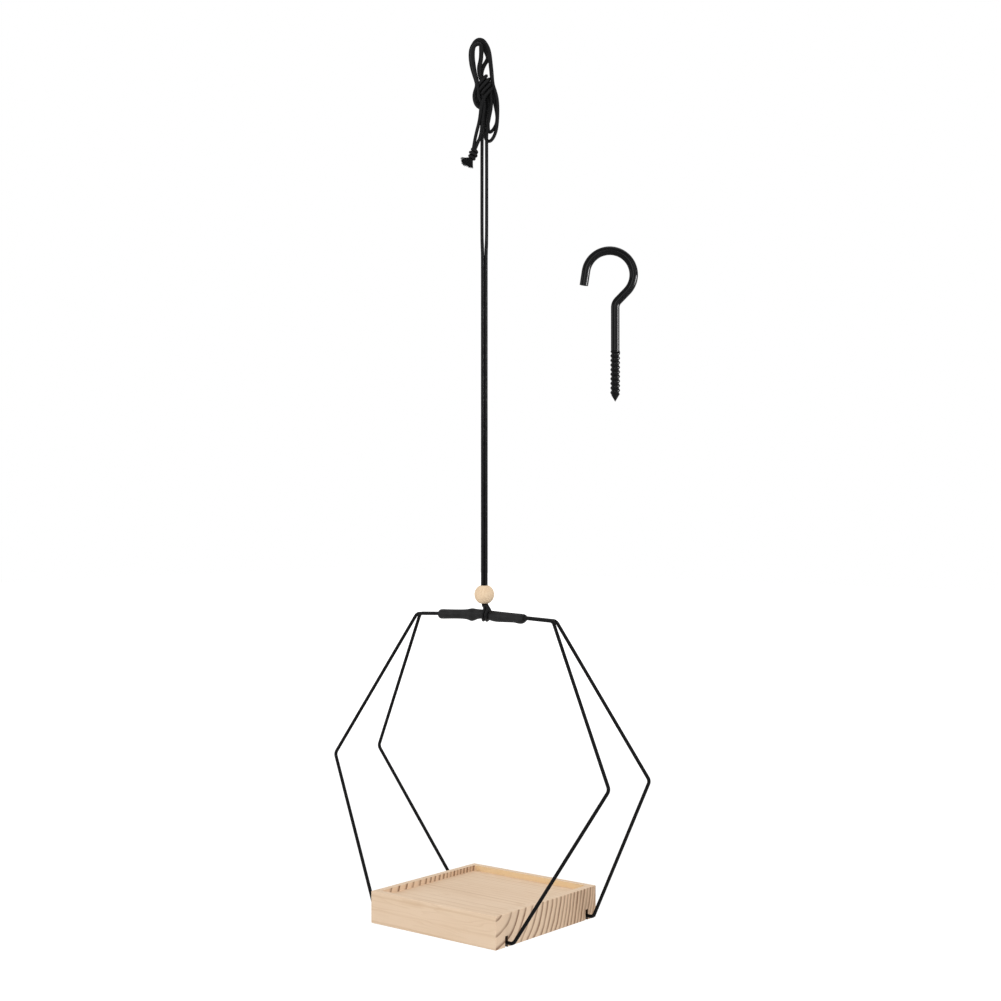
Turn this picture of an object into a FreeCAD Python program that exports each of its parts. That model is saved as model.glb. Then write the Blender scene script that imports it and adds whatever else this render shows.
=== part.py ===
import FreeCAD, Part
import math
import os
import Sketcher

# Hanging plant shelf. Two wire hexagons, splayed about their common top bars, carry a square pine tray
# on their bottom bars. A sleeve binds the top bars. One doubled cord goes round the sleeve, up through
# a wooden bead and on to a loop knot. A screw hook stands by itself beside the cord.
# Millimetres. The origin is where a hook bears under the hanging loop. +X runs along the bars to the
# right, +Y to the rear and +Z up. The knot and the hook lie in an upright plane that is turned from XZ.

Vector = FreeCAD.Vector

SIZES = {
    # hoops
    "wire_dia": 3.5,
    "hex_side": 176.0,
    "bend_radius": 6.0,
    "bar_rise": 3.5,
    "wire_gap": 0.1,
    "end_gap": 1.0,
    # sleeve round the top bars
    "sleeve_length": 112.0,
    "sleeve_wall": 0.55,
    "sleeve_clear": 0.05,
    "sleeve_bend": 60.0,
    # tray
    "tray_margin": 8.0,
    "tray_depth": 160.0,
    "tray_thick": 32.0,
    "edge_round": 1.0,
    "rim_width": 7.5,
    "recess_depth": 5.5,
    "recess_corner": 3.0,
    "bar_height": 4.5,
    "kerf_margin": 16.0,
    "kerf_clear": 0.3,
    "seat_gap": 0.3,
    "relief_rise": 4.1,
    "relief_length": 14.0,
    # cord
    "cord_dia": 3.0,
    "bar_drop": 567.0,
    "swing_drop": 98.0,
    "sway_drop": 198.0,
    "strand_gap": 0.55,
    "parted_gap": 0.9,
    "flex_gap": 0.9,
    "face_yaw": 39.0,
    "hitch_clear": 0.4,
    "hitch_half_width": 3.1,
    "bight_reach": 1.0,
    "leg_spread": 0.13,
    # bead
    "bead_dia": 20.0,
    "bead_clear": 0.45,
    "bead_lift": 2.0,
    "bead_round": 0.6,
    # wraps of the loop knot
    "knot_half_width": 7.6,
    "knot_half_depth": 7.0,
    "knot_pitch": 4.8,
    "knot_tilt": 40.0,
    "knot_top": -36.0,
    # stop knot and frayed ends of the tails
    "stop_radius": 2.9,
    "stop_pitch": 3.9,
    "fray_length": 9.0,
    "fray_mouth": 6.4,
    # screw hook
    "hook_dia": 8.7,
    "hook_side": 131.0,
    "hook_drop": 355.0,
    "thread_length": 50.0,
    "thread_dia": 9.8,
    "thread_core": 7.4,
    "thread_pitch": 4.6,
    "crest_width": 0.8,
    "point_length": 8.0,
    "shank_length": 44.3,
    "neck_bend": 10.0,
    "neck_turn": 44.0,
    "neck_run": 12.9,
    "bow_radius": 24.0,
    "tip_length": 14.4,
    "tip_flare": 8.7,
}

# Values that follow from the sizes.
DERIVED = {
    "tray_width": "Sizes.hex_side - 2 * Sizes.tray_margin",
    "kerf_offset": "Sizes.tray_depth / 2 - Sizes.kerf_margin",
    "bar_spacing": "Sizes.wire_dia + Sizes.wire_gap",
    "hoop_height": "Sizes.bar_rise + sqrt(3) * Sizes.hex_side",
    "splay": "asin((Derived.kerf_offset - Derived.bar_spacing / 2) / Derived.hoop_height)",
    "bar_bottom": "Sizes.bar_drop + Derived.hoop_height * cos(Derived.splay)",
    "sleeve_drop": "Sizes.bar_rise * Sizes.sleeve_length / Sizes.hex_side",
    "bore_reach": "Derived.bar_spacing / 2 + Derived.sleeve_drop * sin(Derived.splay)",
    "bore_radius": "Sizes.wire_dia / 2 + Sizes.sleeve_clear",
    "sleeve_dia": "2 * (Derived.bore_reach + Derived.bore_radius + Sizes.sleeve_wall)",
    "kerf_width": "Sizes.wire_dia + 2 * Sizes.kerf_clear",
    "kerf_depth": "Sizes.bar_height + Sizes.wire_dia / 2 + Sizes.seat_gap",
    "relief_depth": "Derived.kerf_depth + Sizes.relief_rise",
    "strand_side": "(Sizes.cord_dia + Sizes.strand_gap) / 2",
    "parted_side": "(Sizes.cord_dia + Sizes.parted_gap) / 2",
    "bead_bore": "2 * (Derived.strand_side + Sizes.cord_dia / 2 + Sizes.bead_clear)",
    "bead_rim": "Derived.sleeve_dia / 2 + Sizes.hitch_clear + Sizes.cord_dia + Sizes.bead_lift",
    "bead_centre": "Derived.bead_rim + sqrt(Sizes.bead_dia ^ 2 - Derived.bead_bore ^ 2) / 2",
    "groove_depth": "(Sizes.thread_dia - Sizes.thread_core) / 2",
    "neck_start": "Sizes.thread_length + Sizes.shank_length",
}

# A cord's arc takes this share of the shorter run beside it.
ARC_SHARE = 0.45
QUARTER = math.pi / 2

doc = FreeCAD.newDocument("hanging_plant_shelf")


def fill_sheet(name, cells, prefix):
    sheet = doc.addObject("Spreadsheet::Sheet", name)
    for row, (alias, value) in enumerate(cells.items(), start=1):
        sheet.set(f"A{row}", alias)
        sheet.setAlias(f"B{row}", alias)
        sheet.set(f"B{row}", f"{prefix}{value}")
    doc.recompute()
    return sheet


sizes = fill_sheet("Sizes", SIZES, "")
derived = fill_sheet("Derived", DERIVED, "=")


def size(alias):
    return float(sizes.getPropertyByName(alias))


def worked_out(alias):
    value = derived.getPropertyByName(alias)
    return float(getattr(value, "Value", value))


cord_dia = size("cord_dia")


# Helpers for bodies and sketches

def new_body(label):
    body = doc.addObject("PartDesign::Body", label)
    body.Label = label
    return body


def origin_feature(body, role):
    return next(f for f in body.Origin.OriginFeatures if f.Role == role)


def new_sketch(body, name, role):
    sketch = body.newObject("Sketcher::SketchObject", name)
    sketch.AttachmentSupport = (origin_feature(body, role), [""])
    sketch.MapMode = "FlatFace"
    return sketch


def bind(sketch, name, formula, kind, *where):
    index = sketch.addConstraint(Sketcher.Constraint(kind, *where))
    sketch.renameConstraint(index, name)
    sketch.setExpression(f"Constraints.{name}", formula)


def rectangle(sketch, name, left, right, low, high):
    """A rectangle between four formulas, measured from the sketch's origin."""
    corners = [Vector(-1, -1, 0), Vector(1, -1, 0), Vector(1, 1, 0), Vector(-1, 1, 0)]
    first = sketch.GeometryCount
    for i in range(4):
        sketch.addGeometry(Part.LineSegment(corners[i], corners[(i + 1) % 4]))
    for i in range(4):
        sketch.addConstraint(Sketcher.Constraint("Coincident", first + i, 2, first + (i + 1) % 4, 1))
    for i in (0, 2):
        sketch.addConstraint(Sketcher.Constraint("Horizontal", first + i))
        sketch.addConstraint(Sketcher.Constraint("Vertical", first + i + 1))
    bind(sketch, f"{name}_left", left, "DistanceX", -1, 1, first, 1, -1.0)
    bind(sketch, f"{name}_low", low, "DistanceY", -1, 1, first, 1, -1.0)
    bind(sketch, f"{name}_right", right, "DistanceX", -1, 1, first + 2, 1, 1.0)
    bind(sketch, f"{name}_high", high, "DistanceY", -1, 1, first + 2, 1, 1.0)


def bent_path(sketch, corners, radius, radius_formula):
    """Straight legs through corners (x, y, x formula, y formula), with a bend at each inner corner."""
    points = [Vector(x, y, 0) for x, y, _, _ in corners]
    ends = [points[0]]
    bends = []
    for before, corner, after in zip(points, points[1:], points[2:]):
        back = (before - corner).normalize()
        on = (after - corner).normalize()
        half = back.getAngle(on) / 2
        centre = corner + (back + on).normalize() * (radius / math.sin(half))
        first = corner + back * (radius / math.tan(half))
        last = corner + on * (radius / math.tan(half))
        middle = centre + (corner - centre).normalize() * radius
        bends.append(Part.Arc(first, middle, last))
        ends += [first, last]
    ends.append(points[-1])
    legs = [sketch.addGeometry(Part.LineSegment(ends[2 * i], ends[2 * i + 1])) for i in range(len(points) - 1)]
    for i, (point, (_, _, x_formula, y_formula)) in enumerate(zip(points, corners)):
        mark = sketch.addGeometry(Part.Point(point), True)
        bind(sketch, f"corner{i}_x", x_formula, "DistanceX", -1, 1, mark, 1, point.x)
        bind(sketch, f"corner{i}_y", y_formula, "DistanceY", -1, 1, mark, 1, point.y)
        if i == 0:
            sketch.addConstraint(Sketcher.Constraint("Coincident", legs[0], 1, mark, 1))
        else:
            last = i == len(legs)
            held = ("Coincident", mark, 1, legs[-1], 2) if last else ("PointOnObject", mark, 1, legs[i])
            sketch.addConstraint(Sketcher.Constraint(*held))
        if 0 < i < len(legs):
            sketch.addConstraint(Sketcher.Constraint("PointOnObject", mark, 1, legs[i - 1]))
    for i, bend in enumerate(bends):
        arc = sketch.addGeometry(bend)
        # The sketch keeps arcs anticlockwise, so the end that meets the leg before is found by its place.
        starts_here = sketch.getPoint(arc, 1).distanceToPoint(ends[2 * i + 1]) < 1e-6
        near, far = (1, 2) if starts_here else (2, 1)
        sketch.addConstraint(Sketcher.Constraint("Tangent", legs[i], 2, arc, near))
        sketch.addConstraint(Sketcher.Constraint("Tangent", arc, far, legs[i + 1], 1))
        bind(sketch, f"bend{i}", radius_formula, "Radius", arc, radius)
    doc.recompute()


def spine_edges(sketch):
    return [f"Edge{i + 1}" for i in range(len(sketch.Shape.Edges))]


def end_sketch(body, name, path):
    """A sketch square to the start of a path."""
    sketch = body.newObject("Sketcher::SketchObject", name)
    sketch.AttachmentSupport = [(path, "Vertex1"), (path, "Edge1")]
    sketch.MapMode = "NormalToEdge"
    return sketch


def round_profile(sketch, dia, dia_formula):
    circle = sketch.addGeometry(Part.Circle(Vector(0, 0, 0), Vector(0, 0, 1), dia / 2))
    sketch.addConstraint(Sketcher.Constraint("Coincident", circle, 3, -1, 1))
    bind(sketch, "dia", dia_formula, "Diameter", circle, dia)


def pipe(body, kind, name, profile, path):
    feature = body.newObject(f"PartDesign::{kind}Pipe", name)
    feature.Profile = profile
    feature.Spine = (path, spine_edges(path))
    doc.recompute()
    return feature


def fillet(body, name, base, edges, formula):
    feature = body.newObject("PartDesign::Fillet", name)
    feature.Base = (base, edges)
    feature.setExpression("Radius", formula)
    doc.recompute()
    return feature


def cut_check(before, after):
    if after.Shape.Volume > before.Shape.Volume - 1:
        raise RuntimeError(f"{after.Name} cuts nothing")


# Hoops: one wire each, bent to a hexagon, whose ends meet in the middle of the top bar. The pull of the
# cord lifts that middle a little above the top corners.

def make_hoop(label, side):
    body = new_body(label)
    path = new_sketch(body, f"{label}_path", "XZ_Plane")
    width = size("hex_side")
    rise = size("bar_rise")
    half_height = width * math.sqrt(3) / 2
    end = size("end_gap") / 2
    end_low = rise * end / (width / 2)
    end_formula = "Sizes.bar_rise * Sizes.end_gap / Sizes.hex_side"
    middle_formula = "-Sizes.bar_rise - Sizes.hex_side * sqrt(3) / 2"
    right_half = [
        (end, -end_low, "Sizes.end_gap / 2", f"-{end_formula}"),
        (width / 2, -rise, "Sizes.hex_side / 2", "-Sizes.bar_rise"),
        (width, -rise - half_height, "Sizes.hex_side", middle_formula),
        (width / 2, -rise - 2 * half_height, "Sizes.hex_side / 2", "-Derived.hoop_height"),
    ]
    left_half = [(-x, z, f"-({x_formula})", z_formula) for x, z, x_formula, z_formula in reversed(right_half)]
    bent_path(path, right_half + left_half, size("bend_radius"), "Sizes.bend_radius")
    profile = end_sketch(body, f"{label}_section", path)
    round_profile(profile, size("wire_dia"), "Sizes.wire_dia")
    pipe(body, "Additive", f"{label}_wire", profile, path)
    place = f"vector(0; {side} * Derived.bar_spacing / 2; -Sizes.bar_drop)"
    body.setExpression("Placement", f"placement({place}; rotation(vector(1; 0; 0); {side} * Derived.splay))")
    return body


# Sleeve: a round tube with a flat-sided bore round the two wires, bent where their ends meet.

def make_sleeve():
    body = new_body("bar_sleeve")
    path = new_sketch(body, "sleeve_path", "XZ_Plane")
    half = size("sleeve_length") / 2
    low = worked_out("sleeve_drop")
    corners = [
        (-half, -low, "-Sizes.sleeve_length / 2", "-Derived.sleeve_drop"),
        (0, 0, "0", "0"),
        (half, -low, "Sizes.sleeve_length / 2", "-Derived.sleeve_drop"),
    ]
    bent_path(path, corners, size("sleeve_bend"), "Sizes.sleeve_bend")
    outside = end_sketch(body, "sleeve_outside", path)
    round_profile(outside, worked_out("sleeve_dia"), "Derived.sleeve_dia")
    rod = pipe(body, "Additive", "sleeve_rod", outside, path)
    bore = end_sketch(body, "sleeve_bore", path)
    flat_sides(bore, worked_out("bore_reach"), worked_out("bore_radius"))
    cut = pipe(body, "Subtractive", "sleeve_hole", bore, path)
    cut_check(rod, cut)
    body.setExpression("Placement", "placement(vector(0; 0; -Sizes.bar_drop); rotation(vector(1; 0; 0); 0))")
    return body


def flat_sides(sketch, reach, radius):
    """A slot along Y: two half circles whose centres lie apart in Y, joined by straight sides."""
    across = sketch.Placement.Rotation.inverted().multVec(Vector(0, 1, 0))
    if abs(across.x) < abs(across.y):
        raise RuntimeError("the sleeve's section is turned")
    centres = [Vector(-reach, 0, 0), Vector(reach, 0, 0)]
    up = Vector(0, radius, 0)
    out = Vector(radius, 0, 0)
    left = sketch.addGeometry(Part.Arc(centres[0] + up, centres[0] - out, centres[0] - up))
    low = sketch.addGeometry(Part.LineSegment(centres[0] - up, centres[1] - up))
    right = sketch.addGeometry(Part.Arc(centres[1] - up, centres[1] + out, centres[1] + up))
    high = sketch.addGeometry(Part.LineSegment(centres[1] + up, centres[0] + up))
    for a, a_end, b, b_end in ((left, 2, low, 1), (low, 2, right, 1), (right, 2, high, 1), (high, 2, left, 1)):
        sketch.addConstraint(Sketcher.Constraint("Tangent", a, a_end, b, b_end))
    sketch.addConstraint(Sketcher.Constraint("Symmetric", left, 3, right, 3, -1, 1))
    sketch.addConstraint(Sketcher.Constraint("PointOnObject", right, 3, -1))
    bind(sketch, "radius", "Derived.bore_radius", "Radius", right, radius)
    bind(sketch, "reach", "Derived.bore_reach", "DistanceX", -1, 1, right, 3, reach)


# Tray: one board with eased edges, a recess in its top, and a saw cut across its underside for each
# bottom bar. Near the end faces the saw cuts are deeper, so that the wire's bends pass.

def make_tray():
    body = new_body("wooden_tray")
    outline = new_sketch(body, "tray_outline", "XY_Plane")
    rectangle(outline, "board", "-Derived.tray_width / 2", "Derived.tray_width / 2",
              "-Sizes.tray_depth / 2", "Sizes.tray_depth / 2")
    board = body.newObject("PartDesign::Pad", "tray_board")
    board.Profile = outline
    board.setExpression("Length", "Sizes.tray_thick")
    doc.recompute()
    eased = fillet(body, "tray_edges", board, [f"Edge{i + 1}" for i in range(12)], "Sizes.edge_round")

    recess_outline = new_sketch(body, "recess_outline", "XY_Plane")
    recess_outline.setExpression("AttachmentOffset.Base.z", "Sizes.tray_thick")
    rectangle(recess_outline, "recess", "Sizes.rim_width - Derived.tray_width / 2",
              "Derived.tray_width / 2 - Sizes.rim_width", "Sizes.rim_width - Sizes.tray_depth / 2",
              "Sizes.tray_depth / 2 - Sizes.rim_width")
    recess = body.newObject("PartDesign::Pocket", "tray_recess")
    recess.Profile = recess_outline
    recess.setExpression("Length", "Sizes.recess_depth")
    doc.recompute()
    cut_check(eased, recess)
    inner = worked_out("tray_width") / 2 - size("rim_width")
    upright = [
        f"Edge{i + 1}" for i, edge in enumerate(recess.Shape.Edges)
        if not edge.Degenerated and isinstance(edge.Curve, Part.Line)
        and abs(edge.Curve.Direction.z) > 0.99 and abs(abs(edge.CenterOfMass.x) - inner) < 0.01
    ]
    rounded = fillet(body, "recess_corners", recess, upright, "Sizes.recess_corner")

    before = rounded
    for name, depth in (("seat", "Derived.kerf_depth"), ("relief", "Derived.relief_depth")):
        slots = new_sketch(body, f"{name}_slots", "XY_Plane")
        for row, offset in (("front", "-Derived.kerf_offset"), ("rear", "Derived.kerf_offset")):
            low = f"{offset} - Derived.kerf_width / 2"
            high = f"{offset} + Derived.kerf_width / 2"
            left = "-Derived.tray_width / 2"
            right = "Derived.tray_width / 2"
            if name == "seat":
                rectangle(slots, row, left, right, low, high)
            else:
                rectangle(slots, f"{row}_left", left, f"{left} + Sizes.relief_length", low, high)
                rectangle(slots, f"{row}_right", f"{right} - Sizes.relief_length", right, low, high)
        cut = body.newObject("PartDesign::Pocket", f"tray_{name}")
        cut.Profile = slots
        cut.Reversed = True
        cut.setExpression("Length", depth)
        doc.recompute()
        cut_check(before, cut)
        before = cut
    place = "vector(0; 0; -Derived.bar_bottom - Sizes.bar_height)"
    body.setExpression("Placement", f"placement({place}; rotation(vector(0; 0; 1); 0))")
    return body


# Bead: a drilled wooden ball, which slides on the two strands.

def make_bead():
    body = new_body("wooden_bead")
    section = new_sketch(body, "bead_section", "XZ_Plane")
    radius = size("bead_dia") / 2
    bore = worked_out("bead_bore") / 2
    half = math.sqrt(radius ** 2 - bore ** 2)
    ball = section.addGeometry(Part.Arc(Vector(bore, -half, 0), Vector(radius, 0, 0), Vector(bore, half, 0)))
    wall = section.addGeometry(Part.LineSegment(Vector(bore, half, 0), Vector(bore, -half, 0)))
    section.addConstraint(Sketcher.Constraint("Coincident", ball, 3, -1, 1))
    section.addConstraint(Sketcher.Constraint("Coincident", ball, 2, wall, 1))
    section.addConstraint(Sketcher.Constraint("Coincident", wall, 2, ball, 1))
    section.addConstraint(Sketcher.Constraint("Vertical", wall))
    bind(section, "radius", "Sizes.bead_dia / 2", "Radius", ball, radius)
    bind(section, "bore", "Derived.bead_bore / 2", "DistanceX", -1, 1, wall, 1, bore)
    turned = body.newObject("PartDesign::Revolution", "bead_ball")
    turned.Profile = section
    turned.ReferenceAxis = (section, ["V_Axis"])
    doc.recompute()
    rims = [
        f"Edge{i + 1}" for i, edge in enumerate(turned.Shape.Edges)
        if not edge.Degenerated and isinstance(edge.Curve, Part.Circle)
        and abs(edge.Curve.Radius - bore) < 0.01
    ]
    fillet(body, "bead_rims", turned, rims, "Sizes.bead_round")
    place = "vector(0; 0; Derived.bead_centre - Sizes.bar_drop)"
    body.setExpression("Placement", f"placement({place}; rotation(vector(0; 0; 1); 0))")
    return body


# Screw hook: a rod bent to a hook, with a wood screw's thread and point.

def make_hook():
    body = new_body("screw_hook")
    thread_top = size("thread_length")
    shank = size("hook_dia") / 2
    crest = size("thread_dia") / 2
    point = size("point_length")
    stock_top = thread_top + worked_out("groove_depth")
    top_formula = "Sizes.thread_length + Derived.groove_depth"
    stock_section = new_sketch(body, "stock_section", "XZ_Plane")
    outline = [
        (0, 0, "0", "0"),
        (crest, point, "Sizes.thread_dia / 2", "Sizes.point_length"),
        (crest, thread_top, "Sizes.thread_dia / 2", "Sizes.thread_length"),
        (shank, stock_top, "Sizes.hook_dia / 2", top_formula),
        (0, stock_top, "0", top_formula),
    ]
    count = len(outline)
    for i, (x, z, _, _) in enumerate(outline):
        x_next, z_next, _, _ = outline[(i + 1) % count]
        stock_section.addGeometry(Part.LineSegment(Vector(x, z, 0), Vector(x_next, z_next, 0)))
    for i, (x, z, x_formula, z_formula) in enumerate(outline):
        stock_section.addConstraint(Sketcher.Constraint("Coincident", i, 2, (i + 1) % count, 1))
        bind(stock_section, f"stock{i}_x", x_formula, "DistanceX", -1, 1, i, 1, x)
        bind(stock_section, f"stock{i}_z", z_formula, "DistanceY", -1, 1, i, 1, z)
    stock = body.newObject("PartDesign::Revolution", "hook_stock")
    stock.Profile = stock_section
    stock.ReferenceAxis = (stock_section, ["V_Axis"])
    doc.recompute()

    groove = new_sketch(body, "groove_section", "XZ_Plane")
    root = size("thread_core") / 2
    half = (size("thread_pitch") - size("crest_width")) / 2
    half_formula = "(Sizes.thread_pitch - Sizes.crest_width) / 2"
    mouth = [
        (root, 0, "Sizes.thread_core / 2", "0"),
        (crest, -half, "Sizes.thread_dia / 2", f"-{half_formula}"),
        (crest, half, "Sizes.thread_dia / 2", half_formula),
    ]
    for i in range(3):
        x, z, _, _ = mouth[i]
        x_next, z_next, _, _ = mouth[(i + 1) % 3]
        groove.addGeometry(Part.LineSegment(Vector(x, z, 0), Vector(x_next, z_next, 0)))
    for i, (x, z, x_formula, z_formula) in enumerate(mouth):
        groove.addConstraint(Sketcher.Constraint("Coincident", i, 2, (i + 1) % 3, 1))
        bind(groove, f"groove{i}_x", x_formula, "DistanceX", -1, 1, i, 1, x)
        bind(groove, f"groove{i}_z", z_formula, "DistanceY", -1, 1, i, 1, z)
    doc.recompute()
    thread = body.newObject("PartDesign::SubtractiveHelix", "hook_thread")
    thread.Profile = groove
    thread.ReferenceAxis = (origin_feature(body, "Z_Axis"), [""])
    thread.Mode = 0
    thread.setExpression("Pitch", "Sizes.thread_pitch")
    thread.setExpression("Height", "Sizes.thread_length")
    doc.recompute()
    cut_check(stock, thread)

    path = new_sketch(body, "hook_path", "XZ_Plane")
    hook_path(path)
    profile = end_sketch(body, "hook_section", path)
    round_profile(profile, size("hook_dia"), "Sizes.hook_dia")
    pipe(body, "Additive", "hook_rod", profile, path)
    turned = "rotation(vector(0; 0; 1); Sizes.face_yaw)"
    across = "Sizes.hook_side * cos(Sizes.face_yaw * 1deg)"
    back = "Sizes.hook_side * sin(Sizes.face_yaw * 1deg)"
    body.setExpression("Placement", f"placement(vector({across}; {back}; -Sizes.hook_drop); {turned})")
    return body


def hook_path(sketch):
    """The rod's middle line: shank, neck bend, neck, bow and tip, each tangent to the one before."""
    start = size("thread_length")
    neck = math.radians(size("neck_turn"))
    flare = math.radians(size("tip_flare"))
    bend = size("neck_bend")
    bow = size("bow_radius")
    shank_top = Vector(0, worked_out("neck_start"), 0)
    bend_centre = shank_top + Vector(bend, 0, 0)
    neck_way = Vector(math.sin(neck), math.cos(neck), 0)
    neck_low = bend_centre + Vector(-math.cos(neck), math.sin(neck), 0) * bend
    neck_high = neck_low + neck_way * size("neck_run")
    bow_centre = neck_high + Vector(-math.cos(neck), math.sin(neck), 0) * bow
    tip_way = Vector(-math.sin(flare), -math.cos(flare), 0)
    tip_start = bow_centre + Vector(-math.cos(flare), math.sin(flare), 0) * bow
    tip_end = tip_start + tip_way * size("tip_length")
    bend_middle = bend_centre + Vector(-math.cos(neck / 2), math.sin(neck / 2), 0) * bend
    shank_line = sketch.addGeometry(Part.LineSegment(Vector(0, start, 0), shank_top))
    bend_arc = sketch.addGeometry(Part.Arc(shank_top, bend_middle, neck_low))
    neck_line = sketch.addGeometry(Part.LineSegment(neck_low, neck_high))
    bow_arc = sketch.addGeometry(Part.Arc(neck_high, bow_centre + Vector(0, bow, 0), tip_start))
    tip_line = sketch.addGeometry(Part.LineSegment(tip_start, tip_end))
    # The neck bend turns clockwise, so its arc is stored from the neck back to the shank.
    for a, a_end, b, b_end in (
        (shank_line, 2, bend_arc, 2), (bend_arc, 1, neck_line, 1),
        (neck_line, 2, bow_arc, 1), (bow_arc, 2, tip_line, 1),
    ):
        sketch.addConstraint(Sketcher.Constraint("Tangent", a, a_end, b, b_end))
    sketch.addConstraint(Sketcher.Constraint("Vertical", shank_line))
    sketch.addConstraint(Sketcher.Constraint("PointOnObject", shank_line, 1, -2))
    bind(sketch, "foot", "Sizes.thread_length", "DistanceY", -1, 1, shank_line, 1, start)
    bind(sketch, "neck_start", "Derived.neck_start", "DistanceY", -1, 1, shank_line, 2, shank_top.y)
    bind(sketch, "neck_bend", "Sizes.neck_bend", "Radius", bend_arc, bend)
    bind(sketch, "neck_run", "Sizes.neck_run", "Distance", neck_line, size("neck_run"))
    bind(sketch, "neck_rise", "(90 - Sizes.neck_turn) * 1deg", "Angle", neck_line, math.pi / 2 - neck)
    bind(sketch, "bow_radius", "Sizes.bow_radius", "Radius", bow_arc, bow)
    bind(sketch, "tip_length", "Sizes.tip_length", "Distance", tip_line, size("tip_length"))
    bind(sketch, "tip_way", "-(90 + Sizes.tip_flare) * 1deg", "Angle", tip_line, -math.pi / 2 - flare)
    doc.recompute()


# Cord. A route is straight runs joined by tangent arcs, and a winding is biarcs through points of a helix.

def line(a, b):
    return Part.LineSegment(a, b).toShape()


def rounded_route(points):
    """Edges along the points, and the radii of the arcs at the inner ones."""
    edges = []
    radii = []
    start = points[0]
    for before, corner, after in zip(points, points[1:], points[2:]):
        back = before - corner
        on = after - corner
        reach = ARC_SHARE * min(back.Length, on.Length)
        back.normalize()
        on.normalize()
        half = back.getAngle(on) / 2
        radius = reach * math.tan(half)
        inward = (back + on).normalize()
        middle = corner + inward * (radius / math.sin(half) - radius)
        edges.append(line(start, corner + back * reach))
        edges.append(Part.Arc(corner + back * reach, middle, corner + on * reach).toShape())
        radii.append(radius)
        start = corner + on * reach
    edges.append(line(start, points[-1]))
    return edges, radii


def tangent_arc(start, way, end):
    """The arc that leaves start along way and reaches end, or a line where they are in line."""
    chord = end - start
    side = chord - way * chord.dot(way)
    if side.Length < 1e-7 * chord.Length:
        return line(start, end)
    side.normalize()
    radius = chord.dot(chord) / (2 * chord.dot(side))
    centre = start + side * radius
    middle = centre + ((start + end) * 0.5 - centre).normalize() * radius
    return Part.Arc(start, middle, end).toShape()


def biarc(start, start_way, end, end_way):
    """Two tangent arcs, or a straight line, from one point and direction to another."""
    chord = end - start
    if chord.cross(start_way).Length < 1e-7 and chord.cross(end_way).Length < 1e-7:
        return [line(start, end)]
    both = start_way + end_way
    turn = 2 * (1 - start_way.dot(end_way))
    along = chord.dot(both)
    if turn < 1e-9:
        handle = chord.dot(chord) / (2 * along)
    else:
        handle = (math.sqrt(along ** 2 + turn * chord.dot(chord)) - along) / turn
    joint = (start + end + (start_way - end_way) * handle) * 0.5
    second = tangent_arc(end, end_way * -1, joint)
    return [tangent_arc(start, start_way, joint), second]


def winding_route(nodes):
    edges = []
    for (start, start_way), (end, end_way) in zip(nodes, nodes[1:]):
        edges += biarc(start, start_way, end, end_way)
    return edges


def self_gap(edges, dia, apart):
    """The least gap between stretches of one tube that lie further apart along it than apart."""
    step = dia / 6
    points = []
    travelled = []
    so_far = 0.0
    for edge in edges:
        count = max(2, math.ceil(edge.Length / step))
        samples = edge.discretize(count + 1)
        if points and samples[0].distanceToPoint(points[-1]) > samples[-1].distanceToPoint(points[-1]):
            samples.reverse()
        for i, sample in enumerate(samples):
            points.append(sample)
            travelled.append(so_far + edge.Length * i / count)
        so_far += edge.Length
    least = math.inf
    for i, a in enumerate(points):
        for j in range(i + 1, len(points)):
            if travelled[j] - travelled[i] > apart:
                least = min(least, a.distanceToPoint(points[j]))
    return least - dia


def add_tube(label, edges, start_way):
    """A cord's solid along joined edges, compared with its section times its length."""
    wire = Part.Wire(edges)
    start = wire.OrderedVertexes[0].Point
    section = Part.Wire(Part.Circle(start, start_way, cord_dia / 2).toShape())
    solid = wire.makePipeShell([section], True, False)
    expected = wire.Length * math.pi * cord_dia ** 2 / 4
    if abs(solid.Volume - expected) > 0.01 * expected:
        raise RuntimeError(f"{label} has volume {solid.Volume:.1f} and not {expected:.1f}")
    feature = doc.addObject("Part::Feature", label)
    feature.Label = label
    feature.Shape = solid
    return feature, wire.Length


def add_cord(label, points):
    edges, radii = rounded_route(points)
    feature, length = add_tube(label, edges, (points[1] - points[0]).normalize())
    print(f"{label}: {length:.1f} mm long, radii", [round(r, 1) for r in radii])
    return feature


def add_winding(label, nodes, turn_length):
    edges = winding_route(nodes)
    feature, length = add_tube(label, edges, nodes[0][1])
    gap = self_gap(edges, cord_dia, turn_length / 2)
    print(f"{label}: {length:.1f} mm long, least gap to itself {gap:.2f} mm")
    return feature


yaw = math.radians(size("face_yaw"))
right_way = Vector(math.cos(yaw), math.sin(yaw), 0)
front_way = Vector(math.sin(yaw), -math.cos(yaw), 0)
down = Vector(0, 0, -1)


def faced(right, up, front):
    """A point in the upright plane that the knot faces: to the right, up, and to the front of it."""
    return right_way * right + front_way * front + Vector(0, 0, up)


def way_of(vector):
    return Vector(vector).normalize()


# Hitch: both strands pass behind a bight, go over the sleeve to the rear and round under it, and join in
# that bight in front. The bead rests on the bight.

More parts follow.
